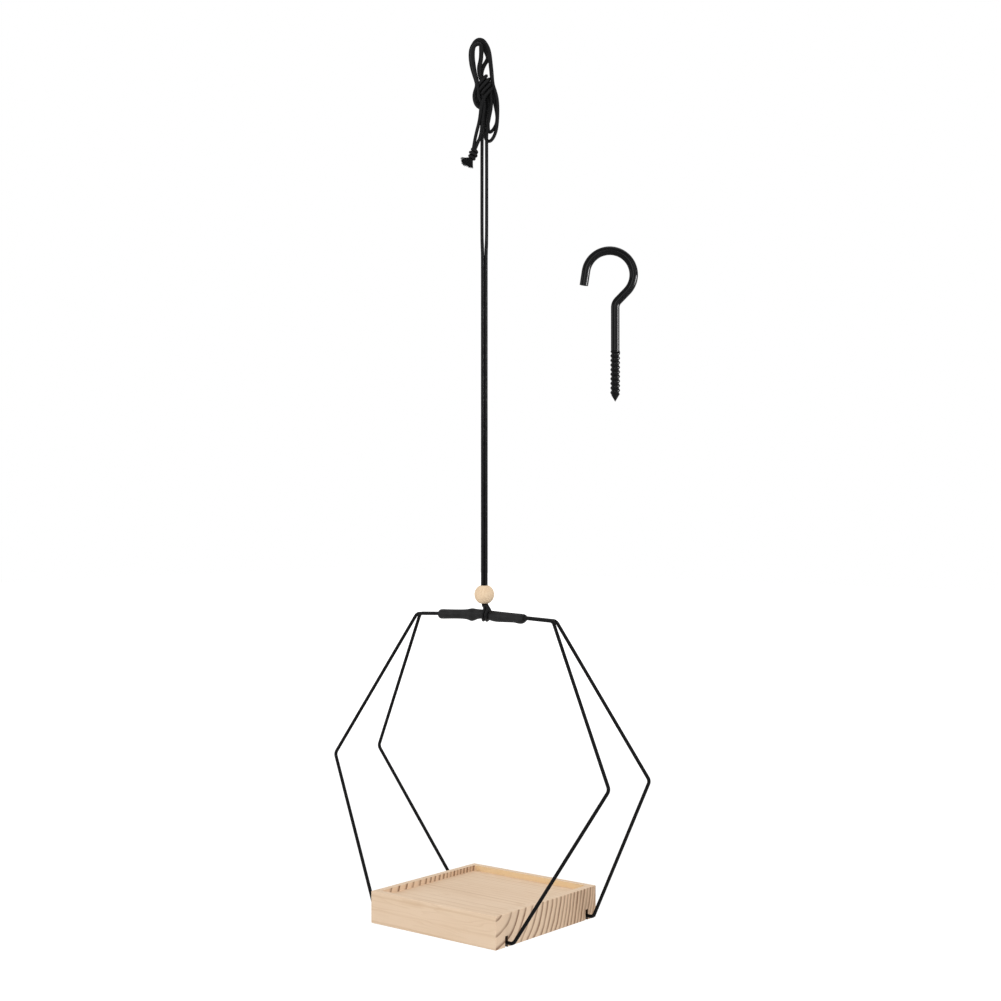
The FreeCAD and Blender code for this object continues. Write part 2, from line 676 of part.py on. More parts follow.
def make_hitch():
    radius = worked_out("sleeve_dia") / 2 + size("hitch_clear") + cord_dia / 2
    middle = Vector(0, 0, -size("bar_drop"))
    strand = worked_out("strand_side")
    turn = size("hitch_half_width")
    rear_turn = (strand + turn) / 2
    top = worked_out("bead_centre") - size("flex_gap") / 2
    rim = worked_out("bead_rim")
    bight = rim - size("seat_gap") - cord_dia / 2
    slant = radius * math.sqrt(0.5)
    rise = Vector(0, 0, 1)
    left = [
        (right_way * -strand + rise * top, down),
        (Vector(-strand - size("leg_spread"), 0, rim), down),
        (Vector(-rear_turn, slant, slant), way_of(Vector(0, 1, -1))),
        (Vector(-rear_turn, radius, 0), down),
        (Vector(-rear_turn, 0, -radius), Vector(0, -1, 0)),
        (Vector(-turn, -radius, 0), rise),
        (Vector(-turn, -slant, slant), way_of(Vector(0, 1, 1))),
    ]
    right = [(Vector(-p.x, p.y, p.z), Vector(t.x, -t.y, -t.z)) for p, t in reversed(left[1:])]
    right.append((right_way * strand + rise * top, rise))
    bight_node = (Vector(0, size("bight_reach") - slant, bight), Vector(1, 0, 0))
    nodes = [(middle + point, way) for point, way in [*left, bight_node, *right]]
    return add_winding("cord_hitch", nodes, 2 * math.pi * radius)


# Strands: side by side from the bead up, then a little apart from the sway joint to the knot's neck.

def make_strands():
    close = worked_out("strand_side")
    parted = worked_out("parted_side")
    half_gap = size("flex_gap") / 2
    bottom = worked_out("bead_centre") - size("bar_drop") + half_gap
    sway = -size("sway_drop")
    swing = -size("swing_drop")
    spread = 4 * cord_dia
    strands = []
    for name, side in (("left", -1), ("right", 1)):
        lower = [faced(side * close, bottom, 0), faced(side * close, sway - half_gap, 0)]
        upper = [
            faced(side * close, sway + half_gap, 0),
            faced(side * close, sway + spread, 0),
            faced(side * parted, sway + 2 * spread, 0),
            faced(side * parted, swing - half_gap, 0),
        ]
        strands.append(add_cord(f"lower_strand_{name}", lower))
        strands.append(add_cord(f"upper_strand_{name}", upper))
    return strands


# Loop knot: three hanging loops run into the knot's wraps, and the outer one runs on past them as a bow.
# Points are to the right, up and to the front of the place where a hook bears.

def make_loops():
    parted = worked_out("parted_side")
    neck_end = size("flex_gap") / 2 - size("swing_drop")
    outer = [
        (-3.3, -47, 0), (-4.6, -40, 0), (-9.2, -33, 0), (-12.2, -23.5, 0), (-13.2, -12, 0), (-12.2, -2, 0),
        (-8, 5.2, 0), (-2.2, 7.6, 0), (3, 4.8, 0.4), (5.2, -3, 0.8), (6, -13, 1.6), (7.6, -22, 3.2),
        (9, -30, 4.8), (9.6, -38, 5.2), (11, -46, 4.4), (13, -54, 2.6), (13.6, -63, 0.6), (13.4, -72, 0),
        (12, -81, 0), (9, -88.4, -0.4), (4.6, -92.6, -2.8), (0.2, -92.6, -4.4), (-1.8, -88.4, -4.6),
        (-1.9, -81, -4.4), (-1.8, -71, -3.9), (-1.7, -61, -3.2), (-1.65, -50.5, -2.9),
    ]
    middle = [
        (-1.65, -47, -2.9), (-2.6, -40, -3.2), (-6.4, -32, -3.6), (-9.8, -22, -3.6), (-10.6, -11, -3.4),
        (-9, -1.6, -3), (-3.6, 3.6, -2.8), (1, 0.6, -2.6), (2.8, -6.4, -2.2), (2.9, -14, -2.2),
        (1.4, -22, -2.6), (0.8, -31, -3.2), (1.3, -39.5, -3.2), (1.65, -47, -2.9),
    ]
    inner = [
        (-1.65, -47, 2.9), (-2.6, -40, 2.8), (-5.6, -32, 2.8), (-8.4, -23, 2.4), (-9.5, -14.4, 2),
        (-9.6, -7, 2), (-9.3, -1.8, 2), (-7.7, 0.5, 1.9), (-5.1, 1.4, 1.7), (-2.4, 0.5, 1.6),
        (-0.7, -1.8, 1.4), (-0.6, -7, 1.6), (-1.4, -14, 2.2), (-2.5, -22, 2.6), (-1.6, -31, 2.9),
        (0.6, -39, 2.6), (1.65, -47, 2.9),
    ]
    bow_inner = [
        (3.3, -50, 0), (3.7, -57, 0.4), (6.6, -63, 1.2), (9.6, -67.8, 2.4), (10.7, -73.4, 3),
        (9.7, -78.4, 2.6), (8.3, -82, 1.7), (6.6, -84.6, -0.2), (4.4, -85.6, -2.6), (2.5, -84, -4.5),
        (1.7, -79.6, -5.1), (1.8, -72, -3.9), (1.7, -62, -3.3), (1.65, -50.5, -2.9),
    ]
    routes = {"outer_loop": outer, "middle_loop": middle, "inner_loop": inner, "bow_inner": bow_inner}
    # Stages of the neck: share of the way up into the wraps, how far out and how far to the front.
    neck_top = -50.5
    neck = [(0, parted, 0), (0.22, parted, 0.2), (0.5, 1.8, 1.4), (0.755, 1.7, 2.5), (1, 1.65, 2.9)]
    for name, side in (("left", -1), ("right", 1)):
        rise = neck_top - neck_end
        routes[f"neck_{name}"] = [(side * out, neck_end + share * rise, front) for share, out, front in neck]
    return [add_cord(name, [faced(*p) for p in points]) for name, points in routes.items()]


def make_knot():
    """The wraps slant down to the left across the front, and their lower end runs on as the left tail."""
    width = size("knot_half_width")
    depth = size("knot_half_depth")
    pitch = size("knot_pitch")
    slope = math.tan(math.radians(size("knot_tilt")))
    whole_turns = 3
    end_angle = math.radians(130)
    first = -QUARTER
    last = whole_turns * 2 * math.pi + end_angle
    steps = math.ceil((last - first) / QUARTER)
    nodes = []
    for i in range(steps + 1):
        angle = first + (last - first) * i / steps
        up = size("knot_top") - pitch * (angle - first) / (2 * math.pi) + slope * width * math.cos(angle)
        fall = -pitch / (2 * math.pi) - slope * width * math.sin(angle)
        point = faced(width * math.cos(angle), up, depth * math.sin(angle))
        nodes.append((point, way_of(faced(-width * math.sin(angle), fall, depth * math.cos(angle)))))
    start, start_way = nodes[0]
    end, end_way = nodes[-1]
    nodes.insert(0, (start - start_way * cord_dia, start_way))
    nodes.append((end + end_way * cord_dia, end_way))
    wraps = add_winding("knot_wraps", nodes, 2 * math.pi * depth)
    return wraps, nodes[-1]


# Tails: from the knot down to the left, to a stop knot and two frayed ends.

def make_tails(tail_start, tail_way):
    lead = 1.2 * cord_dia
    left = [(-10.4, -66, 1.8), (-9.8, -76, 2.2), (-10.4, -86, 2.2), (-12.2, -95, 1.6), (-13.2, -101.6, 1.6)]
    left_points = [tail_start, tail_start + tail_way * lead, *(faced(*p) for p in left)]
    right = [
        (-3.3, -50, 0), (-3.5, -58, 0.2), (-5.4, -67, 1), (-5.8, -77, 2.6), (-6.4, -88, 2.8), (-8.4, -97, 1.8),
        (-8.8, -103.6, 1.6),
    ]
    tails = [add_cord("tail_left", left_points), add_cord("tail_right", [faced(*p) for p in right])]

    radius = size("stop_radius")
    pitch = size("stop_pitch")
    quarters = 9
    centre = faced(-11.2, -103.6, 1.6)
    nodes = []
    for k in range(quarters + 1):
        angle = k * QUARTER
        point = right_way * (-radius * math.cos(angle)) + front_way * (radius * math.sin(angle))
        way = right_way * (radius * math.sin(angle)) + front_way * (radius * math.cos(angle))
        nodes.append((centre + point + down * (pitch * k / 4), way_of(way + down * (pitch / 4 / QUARTER))))
    tails.append(add_winding("stop_knot", nodes, 2 * math.pi * radius))
    ends = {"frayed_end_left": ((-16.4, -110, 1.6), (-0.92, -0.4, 0)),
            "frayed_end_right": ((-12.2, -114.2, 1.6), (-0.3, -0.95, 0))}
    for label, (root, way) in ends.items():
        mouth = size("fray_mouth") / 2
        tuft = Part.makeCone(cord_dia / 2, mouth, size("fray_length"), faced(*root), faced(*way))
        feature = doc.addObject("Part::Feature", label)
        feature.Label = label
        feature.Shape = tuft
        tails.append(feature)
    return tails


def make_all():
    pieces = [make_hoop("front_hoop", -1), make_hoop("rear_hoop", 1), make_sleeve(), make_tray()]
    pieces += [make_bead(), make_hook(), make_hitch()]
    pieces += make_strands()
    pieces += make_loops()
    wraps, (tail_start, tail_way) = make_knot()
    pieces.append(wraps)
    pieces += make_tails(tail_start, tail_way)
    return pieces


pieces = make_all()
doc.recompute()
for item in doc.Objects:
    if "Invalid" in item.State or "Error" in item.State:
        raise RuntimeError(f"{item.Label} failed: {item.State}")
for piece in pieces:
    if piece.Shape.isNull() or not piece.Shape.isValid() or len(piece.Shape.Solids) != 1:
        raise RuntimeError(f"{piece.Label} isn't one valid solid")
os.makedirs("parts", exist_ok=True)
for piece in pieces:
    piece.Shape.exportStep(f"parts/{piece.Label}.step")
print(len(pieces), "sub-parts written")
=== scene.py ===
import bpy
import math
import numpy as np
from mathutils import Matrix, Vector


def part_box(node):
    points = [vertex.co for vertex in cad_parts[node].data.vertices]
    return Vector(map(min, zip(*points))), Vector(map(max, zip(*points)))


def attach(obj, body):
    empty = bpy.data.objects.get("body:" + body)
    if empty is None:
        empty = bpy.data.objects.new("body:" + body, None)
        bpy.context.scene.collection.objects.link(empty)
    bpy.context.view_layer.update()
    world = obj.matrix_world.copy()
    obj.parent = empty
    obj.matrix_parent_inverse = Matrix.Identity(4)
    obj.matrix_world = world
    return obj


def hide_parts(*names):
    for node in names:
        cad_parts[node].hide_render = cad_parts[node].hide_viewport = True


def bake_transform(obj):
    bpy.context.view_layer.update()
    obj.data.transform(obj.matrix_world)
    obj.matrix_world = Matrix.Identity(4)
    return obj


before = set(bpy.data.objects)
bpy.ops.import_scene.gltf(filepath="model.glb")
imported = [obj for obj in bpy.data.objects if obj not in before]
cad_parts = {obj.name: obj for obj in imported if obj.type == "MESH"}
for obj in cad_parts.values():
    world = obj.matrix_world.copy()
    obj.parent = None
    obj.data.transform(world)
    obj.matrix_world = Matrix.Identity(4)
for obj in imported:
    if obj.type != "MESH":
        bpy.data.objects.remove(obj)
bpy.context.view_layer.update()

# Wire hoops. Two lengths of 3.5 mm steel wire, each bent to a hexagon whose ends meet in the top bar.
# They are dipped in satin black paint, which lies a little uneven on the wire.


def new_finish(name):
    """A new finish with its nodes and its shader."""
    finish = bpy.data.materials.new(name)
    finish.use_nodes = True
    tree = finish.node_tree
    return finish, tree, tree.nodes["Principled BSDF"]


def grain(tree, coords, scale, detail=3.0, roughness=0.55):
    """An uneven pattern from 0 to 1, with about so many grains to the metre."""
    noise = tree.nodes.new("ShaderNodeTexNoise")
    noise.inputs["Scale"].default_value = scale
    noise.inputs["Detail"].default_value = detail
    noise.inputs["Roughness"].default_value = roughness
    tree.links.new(coords, noise.inputs["Vector"])
    return noise.outputs["Fac"]


def spread(tree, value, low, high, start=0.3, stop=0.7):
    """A value from low to high as the pattern goes from start to stop."""
    ranged = tree.nodes.new("ShaderNodeMapRange")
    ranged.inputs["From Min"].default_value = start
    ranged.inputs["From Max"].default_value = stop
    ranged.inputs["To Min"].default_value = low
    ranged.inputs["To Max"].default_value = high
    tree.links.new(value, ranged.inputs["Value"])
    return ranged.outputs["Result"]


def tint(tree, share, first, second):
    """A colour between two, by a share that is a pattern."""
    mix = tree.nodes.new("ShaderNodeMix")
    mix.data_type = "RGBA"
    tree.links.new(share, mix.inputs[0])
    for socket, colour in ((mix.inputs[6], first), (mix.inputs[7], second)):
        if isinstance(colour, tuple):
            socket.default_value = (*colour, 1.0)
        else:
            tree.links.new(colour, socket)
    return mix.outputs[2]


def relief(tree, shader, height, strength, depth):
    """Lets a pattern stand up from the surface, by a depth in metres."""
    bump = tree.nodes.new("ShaderNodeBump")
    bump.inputs["Strength"].default_value = strength
    bump.inputs["Distance"].default_value = depth
    tree.links.new(height, bump.inputs["Height"])
    tree.links.new(bump.outputs["Normal"], shader.inputs["Normal"])


def paint_node(name, finish):
    """Gives a piece that keeps its CAD shape its finish."""
    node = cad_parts[name]
    if not node.material_slots:
        node.data.materials.append(finish)
    for place in node.material_slots:
        place.material = finish


satin_black, tree, shader = new_finish("satin_black_wire")
place = tree.nodes.new("ShaderNodeTexCoord").outputs["Object"]
thin_paint = (0.0042, 0.0042, 0.0045)
thick_paint = (0.0020, 0.0020, 0.0022)
pools = grain(tree, place, 70)
tree.links.new(tint(tree, spread(tree, pools, 0, 1), thick_paint, thin_paint), shader.inputs["Base Color"])
tree.links.new(spread(tree, pools, 0.34, 0.50), shader.inputs["Roughness"])
shader.inputs["Specular IOR Level"].default_value = 0.07
relief(tree, shader, grain(tree, place, 900), 0.15, 0.0002)
paint_node("front_hoop", satin_black)
paint_node("rear_hoop", satin_black)

# Bar sleeve. A black rubbery tube, shrunk over the two top bars, that binds them side by side.
# It swells where the wires' ends lie under it and at its right end, and both its ends are rolled in.

sleeve_middle = -0.567
bar_drop = 3.5
bar_half = 88
bar_slope = bar_drop / bar_half
crest_rounding = 3
# Each ring has its place along the bars, half its width, half its height and its sag, in millimetres.
sleeve_rings = [
    (-52, 3.95, 2, 0), (-56.2, 3.95, 2, 0), (-57.6, 4, 2.2, 0), (-58.1, 4.2, 3.1, 0.15),
    (-58.1, 4.5, 4.2, 0.35), (-57.5, 4.8, 4.85, 0.45), (-55.6, 4.95, 5.05, 0.5), (-51, 4.95, 5, 0.5),
    (-46, 4.85, 4.85, 0.5), (-36, 4.8, 4.8, 0.5), (-27, 4.85, 4.85, 0.55), (-21.5, 5, 5.3, 0.7),
    (-18.2, 5.3, 6.2, 1), (-15.6, 5.5, 6.7, 1.1), (-12.6, 5.3, 6, 0.85), (-9.4, 4.95, 5.2, 0.5),
    (-5.5, 4.75, 4.75, 0.3), (0, 4.75, 4.75, 0.4), (6, 4.75, 4.85, 0.8), (11, 4.95, 5.3, 1.4),
    (16, 5.05, 5.45, 1.6), (23, 5, 5.2, 1.4), (31, 4.9, 5, 1.2), (36, 4.8, 4.8, 1), (40, 4.75, 4.75, 1),
    (43.5, 4.9, 5.1, 1.2), (46.8, 4.95, 5.15, 1.25), (49.4, 4.85, 4.75, 0.9), (51, 4.55, 4.1, 0.5),
    (51.8, 4.3, 3.3, 0.2), (52, 4.1, 2.6, 0.1), (51.5, 4, 2.1, 0), (50, 3.95, 2, 0), (47.4, 3.95, 2, 0),
]


def sleeve_centre(x, sag):
    """The middle of a ring on the two bars, which slope down from their crest to both sides."""
    down = bar_slope * math.hypot(x, crest_rounding) + sag
    return Vector((x / 1000, 0, sleeve_middle - down / 1000))


bpy.ops.object.select_all(action="DESELECT")
ring_x, ring_width, ring_height, ring_sag = sleeve_rings[0]
ring_middle = sleeve_centre(ring_x, ring_sag)
bpy.ops.mesh.primitive_circle_add(vertices=36, radius=ring_width / 1000, fill_type="NOTHING",
                                  location=ring_middle, rotation=(0, math.pi / 2, 0))
sleeve = bpy.context.object
sleeve.name = "shrunk_sleeve"
bpy.ops.object.transform_apply(location=True, rotation=True, scale=True)
bpy.ops.object.mode_set(mode="EDIT")
bpy.ops.mesh.select_all(action="SELECT")
bpy.ops.transform.resize(value=(1, 1, ring_height / ring_width), center_override=ring_middle)
for x, width, height, sag in sleeve_rings[1:]:
    middle = sleeve_centre(x, sag)
    bpy.ops.mesh.extrude_region_move(TRANSFORM_OT_translate={"value": middle - ring_middle})
    bpy.ops.transform.resize(value=(1, width / ring_width, height / ring_height), center_override=middle)
    ring_middle = middle
    ring_width = width
    ring_height = height
bpy.ops.mesh.select_all(action="DESELECT")
bpy.ops.mesh.select_non_manifold()
bpy.ops.mesh.bridge_edge_loops()
bpy.ops.mesh.select_all(action="SELECT")
bpy.ops.mesh.normals_make_consistent(inside=False)
bpy.ops.object.mode_set(mode="OBJECT")
smooth = sleeve.modifiers.new("smooth", "SUBSURF")
smooth.levels = 2
smooth.render_levels = 2
bpy.ops.object.modifier_apply(modifier="smooth")
bpy.ops.object.shade_smooth()

shrunk_rubber, tree, shader = new_finish("shrunk_rubber")
place = tree.nodes.new("ShaderNodeTexCoord").outputs["Object"]
clean_rubber = (0.0036, 0.0036, 0.0040)
dusty_rubber = (0.0185, 0.0185, 0.0192)
bloom = grain(tree, place, 160)
tree.links.new(tint(tree, spread(tree, bloom, 0, 1), clean_rubber, dusty_rubber), shader.inputs["Base Color"])
tree.links.new(spread(tree, bloom, 0.50, 0.66), shader.inputs["Roughness"])
shader.inputs["Specular IOR Level"].default_value = 0.13
relief(tree, shader, grain(tree, place, 420, 4.0), 0.25, 0.0004)
sleeve.data.materials.append(shrunk_rubber)
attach(sleeve, "frame")
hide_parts("bar_sleeve")

# Tray. One board of pale pine, its grain along its width, with a shallow milled recess and sawn ends.
# It is sanded and left bare, so its growth rings show dark on the end grain and faint on the sides,
# and it lies on the hoops' bottom bars in two saw cuts, whose walls are painted dark: painted shade for the
# deep, narrow cuts.

pine, tree, shader = new_finish("sanded_pine")
coords = tree.nodes.new("ShaderNodeTexCoord")


def sum_of(kind, first, second=None):
    """One step of a sum in the finish that is being made, on numbers or patterns."""
    node = tree.nodes.new("ShaderNodeMath")
    node.operation = kind
    for socket, value in zip(node.inputs, (first, second)):
        if isinstance(value, (int, float)):
            socket.default_value = value
        elif value is not None:
            tree.links.new(value, socket)
    return node.outputs[0]


def stretched(scale, start=(0, 0, 0), tilt=(0, 0, 0)):
    """The piece's own coordinates, with so many grains to the metre along each axis."""
    mapping = tree.nodes.new("ShaderNodeMapping")
    mapping.inputs["Scale"].default_value = scale
    mapping.inputs["Location"].default_value = start
    mapping.inputs["Rotation"].default_value = tilt
    tree.links.new(coords.outputs["Object"], mapping.inputs["Vector"])
    return mapping.outputs["Vector"]


tray_middle = (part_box("wooden_tray")[0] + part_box("wooden_tray")[1]) / 2
pith_front = 0.084
pith_up = 0.028
sway_depth = 0.010
flutter_depth = 0.0016
rings_by_metre = 48.6
rings_by_square = 514
late_depth = 0.008
axes = tree.nodes.new("ShaderNodeSeparateXYZ")
tree.links.new(coords.outputs["Object"], axes.inputs["Vector"])
from_pith_y = sum_of("ADD", axes.outputs["Y"], pith_front)
from_pith_z = sum_of("ADD", axes.outputs["Z"], -tray_middle.z - pith_up)
reach = sum_of("SQRT", sum_of("ADD", sum_of("POWER", from_pith_y, 2), sum_of("POWER", from_pith_z, 2)))
sway = sum_of("SUBTRACT", grain(tree, stretched((3, 16, 16)), 1, 2.0), 0.5)
flutter = sum_of("SUBTRACT", grain(tree, stretched((9, 90, 90)), 1, 2.0), 0.5)
wave = sum_of("ADD", sum_of("MULTIPLY", sway, sway_depth), sum_of("MULTIPLY", flutter, flutter_depth))
bent = sum_of("ADD", reach, wave)
even_rings = sum_of("MULTIPLY", bent, rings_by_metre)
closer_rings = sum_of("MULTIPLY", sum_of("POWER", bent, 2), rings_by_square)
rings = sum_of("ADD", even_rings, closer_rings)
per_metre = sum_of("ADD", sum_of("MULTIPLY", bent, 2 * rings_by_square), rings_by_metre)
to_ring_end = sum_of("DIVIDE", sum_of("SUBTRACT", 1, sum_of("FRACT", rings)), per_metre)
in_ring = sum_of("SUBTRACT", 1, sum_of("MULTIPLY", to_ring_end, 1 / late_depth))
ramp = tree.nodes.new("ShaderNodeValToRGB")
ramp.color_ramp.elements[0].position = 0.0
ramp.color_ramp.elements[0].color = (0, 0, 0, 1)
ramp.color_ramp.elements[1].position = 1.0
ramp.color_ramp.elements[1].color = (0.10, 0.10, 0.10, 1)
for stop, level in ((0.46, 0.05), (0.66, 0.45), (0.78, 1.0), (0.95, 1.0)):
    ramp.color_ramp.elements.new(stop).color = (level, level, level, 1)
tree.links.new(in_ring, ramp.inputs["Fac"])
year = tree.nodes.new("ShaderNodeTexWhiteNoise")
year.noise_dimensions = "1D"
tree.links.new(sum_of("FLOOR", rings), year.inputs["W"])
late = sum_of("MULTIPLY", ramp.outputs["Color"], spread(tree, year.outputs["Value"], 0.62, 1.0, 0, 1))
facing = tree.nodes.new("ShaderNodeSeparateXYZ")
tree.links.new(coords.outputs["Normal"], facing.inputs["Vector"])
end_grain = sum_of("POWER", sum_of("ABSOLUTE", facing.outputs["X"]), 2)
streaks = grain(tree, stretched((10, 700, 700)), 1, 4.0, 0.6)
patches = grain(tree, stretched((8, 16, 16)), 1, 2.0)
ring_brown = (0.560, 0.370, 0.215)
pale = tint(tree, spread(tree, patches, 0, 1), (0.742, 0.557, 0.395), (0.797, 0.621, 0.458))
fading = spread(tree, grain(tree, stretched((6, 40, 40), (3, 1, 2)), 1, 2.0), 0.12, 0.72)
side_line = tint(tree, sum_of("MULTIPLY", sum_of("POWER", late, 3), fading), pale, ring_brown)
grain_slope = 0.04
figure_lines = 11
wander = grain(tree, stretched((7, 62, 62), (2, 5, 1), (0, grain_slope, 0)), 1, 2.0)
thin_line = spread(tree, sum_of("FRACT", sum_of("MULTIPLY", wander, figure_lines)), 0, 1, 0.55, 1.0)
broken = spread(tree, grain(tree, stretched((16, 70, 70), (7, 3, 9)), 1, 2.0), 0.0, 0.34, 0.38, 0.62)
figured = tint(tree, sum_of("MULTIPLY", thin_line, broken), side_line, ring_brown)
side = tint(tree, spread(tree, streaks, 0, 0.20), figured, (0.640, 0.445, 0.280))
# The recess's rear wall, where it faces the front, is tinted golden: painted warm light, as the recess floor
# throws it back onto that wall.
rear_wall = 0.066
rear_part = sum_of("GREATER_THAN", axes.outputs["Y"], rear_wall)
facing_front = sum_of("LESS_THAN", facing.outputs["Y"], -0.6)
painted_warm_bounce = sum_of("MULTIPLY", sum_of("MULTIPLY", rear_part, facing_front), 0.6)
side = tint(tree, painted_warm_bounce, side, (0.800, 0.580, 0.290))
uneven = spread(tree, grain(tree, stretched((40, 120, 60), (1, 4, 2)), 1, 3.0), 0.70, 1.0)
to_rear = spread(tree, axes.outputs["Y"], 0, 0.36, -0.02, 0.08)
end_base = tint(tree, to_rear, (0.840, 0.635, 0.455), (0.490, 0.275, 0.135))
end_line = tint(tree, sum_of("MULTIPLY", late, uneven), end_base, (0.165, 0.070, 0.032))
pores = grain(tree, coords.outputs["Object"], 1500, 2.0)
end = tint(tree, spread(tree, pores, 0, 0.20), end_line, (0.420, 0.270, 0.160))
# The walls of the two saw cuts are painted near black: painted shade, where little light gets into the deep,
# narrow cuts.
cut_place = 0.064
cut_half_width = 0.0021
cut_depth = 0.0108
cut_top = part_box("wooden_tray")[0].z + cut_depth
across_cut = sum_of("ABSOLUTE", sum_of("SUBTRACT", sum_of("ABSOLUTE", axes.outputs["Y"]), cut_place))
in_cut = sum_of("MULTIPLY", sum_of("LESS_THAN", across_cut, cut_half_width),
                sum_of("LESS_THAN", axes.outputs["Z"], cut_top))
painted_cut_shade = tint(tree, spread(tree, streaks, 0, 1), (0.040, 0.022, 0.012), (0.085, 0.050, 0.028))
tree.links.new(tint(tree, in_cut, tint(tree, end_grain, side, end), painted_cut_shade), shader.inputs["Base Color"])
tree.links.new(spread(tree, streaks, 0.56, 0.72), shader.inputs["Roughness"])
shader.inputs["Specular IOR Level"].default_value = 0.28
fibres = sum_of("SUBTRACT", streaks, sum_of("MULTIPLY", late, 0.35))
relief(tree, shader, fibres, 0.22, 0.0004)
paint_node("wooden_tray", pine)

# Hitch. The doubled cord lies as a bight over the front of the sleeve, and both its strands pass over
# the sleeve, round under it and up through that bight, into the bead. The cord is a 3 mm polyester braid.

cord_radius = 0.0015
even_share = 1.13
yaw = math.radians(39)
right_way = Vector((math.cos(yaw), math.sin(yaw), 0))
front_way = Vector((math.sin(yaw), -math.cos(yaw), 0))
braid_yarns = 8
braid_pitch = 0.0105
braid_step = 0.00034
braid_sides = 40
valley_share = 0.955
crest_share = 0.085
yarn_end_share = 0.55


def faced(right, up, front):
    """A point in millimetres to the right, up and to the front of where the loop hangs."""
    return (right_way * right + front_way * front + Vector((0, 0, up))) / 1000


def cord_line(name, points):
    """The smooth line of a cord over its route's points, as points along a spline."""
    route = bpy.data.curves.new(name, "CURVE")
    route.dimensions = "3D"
    route.resolution_u = 16
    spline = route.splines.new("NURBS")
    spline.points.add(len(points) - 1)
    for knot, point in zip(spline.points, points):
        knot.co = (*point, 1)
    spline.order_u = 3
    spline.use_endpoint_u = True
    holder = bpy.data.objects.new(name, route)
    mesh = bpy.data.meshes.new_from_object(holder)
    line = np.array([vertex.co for vertex in mesh.vertices])
    bpy.data.objects.remove(holder)
    bpy.data.curves.remove(route)
    bpy.data.meshes.remove(mesh)
    return line


def braid_height(around, along):
    """How high the braid stands: each yarn goes over two others and then under two."""
    a = around + along
    b = around - along
    i = np.floor(a)
    j = np.floor(b)
    over = np.mod(i + j, 4) < 2
    run_a = np.mod(i + b, 4) / 2
    run_b = (np.mod(j + a, 4) - 2) / 2
    across_a = np.sin(np.pi * (a - i))
    across_b = np.sin(np.pi * (b - j))
    yarn_arch = 1 - yarn_end_share
    on_a = across_a * (yarn_end_share + yarn_arch * np.sin(np.pi * np.clip(run_a, 0, 1)))
    on_b = across_b * (yarn_end_share + yarn_arch * np.sin(np.pi * np.clip(run_b, 0, 1)))
    return np.where(over, on_a, on_b)


def braid(name, line, thickness=None):
    """A closed braided tube along a line. thickness gives the radius at a height, where it isn't even."""
    gaps = np.linalg.norm(np.diff(line, axis=0), axis=1)
    along = np.concatenate([[0], np.cumsum(gaps)])
    count = max(12, int(along[-1] / braid_step))
    steps = np.linspace(0, along[-1], count)
    centres = np.stack([np.interp(steps, along, line[:, k]) for k in range(3)], axis=1)
    ways = np.gradient(centres, axis=0)
    ways /= np.linalg.norm(ways, axis=1)[:, None]
    side = np.cross(ways[0], (0.31, 0.17, 0.93))
    sides = []
    for way in ways:
        side = side - way * (side @ way)
        side = side / np.linalg.norm(side)
        sides.append(side)
    sides = np.array(sides)
    ups = np.cross(ways, sides)
    sectors = braid_sides
    turn = np.arange(sectors) * 2 * np.pi / sectors
    if thickness is None:
        radii = np.full(count, even_share * cord_radius)
    else:
        radii = thickness(centres[:, 2])
    around = np.arange(sectors)[None, :] / sectors * braid_yarns
    stage = steps[:, None] / braid_pitch * braid_yarns
    height = braid_height(around, stage)
    spans = radii[:, None] * (valley_share + crest_share * height)
    rings = (centres[:, None, :] + sides[:, None, :] * (spans * np.cos(turn))[:, :, None]
             + ups[:, None, :] * (spans * np.sin(turn))[:, :, None])
    crown = cord_radius * 0.3
    ends = np.stack([centres[0] - ways[0] * crown, centres[-1] + ways[-1] * crown])
    corners = np.concatenate([rings.reshape(-1, 3), ends])
    ring = np.arange(count - 1)[:, None] * sectors
    here = np.arange(sectors)[None, :]
    then = (here + 1) % sectors
    quads = np.stack([ring + here, ring + then, ring + sectors + then, ring + sectors + here], axis=2)
    quads = quads.reshape(-1, 4)
    last = (count - 1) * sectors
    caps = [(count * sectors, (k + 1) % sectors, k) for k in range(sectors)]
    caps += [(count * sectors + 1, last + k, last + (k + 1) % sectors) for k in range(sectors)]
    mesh = bpy.data.meshes.new(name)
    mesh.from_pydata(corners.tolist(), [], quads.tolist() + caps)
    uv = mesh.uv_layers.new(name="braid")
    left = here + 0 * ring
    low = stage[:-1] + 0 * here
    high = stage[1:] + 0 * here
    u = np.stack([left, left + 1, left + 1, left], axis=2).reshape(-1, 4)
    v = np.stack([low, low, high, high], axis=2).reshape(-1, 4)
    flat = np.stack([u / sectors * braid_yarns, v], axis=2).reshape(-1, 2)
    cap_corners = 2 * 3 * sectors
    flat = np.concatenate([flat, np.zeros((cap_corners, 2))])
    uv.data.foreach_set("uv", flat.astype(np.float32).ravel())
    mesh.shade_smooth()
    piece = bpy.data.objects.new(name, mesh)
    bpy.context.scene.collection.objects.link(piece)
    mesh.materials.append(braided_black)
    return piece


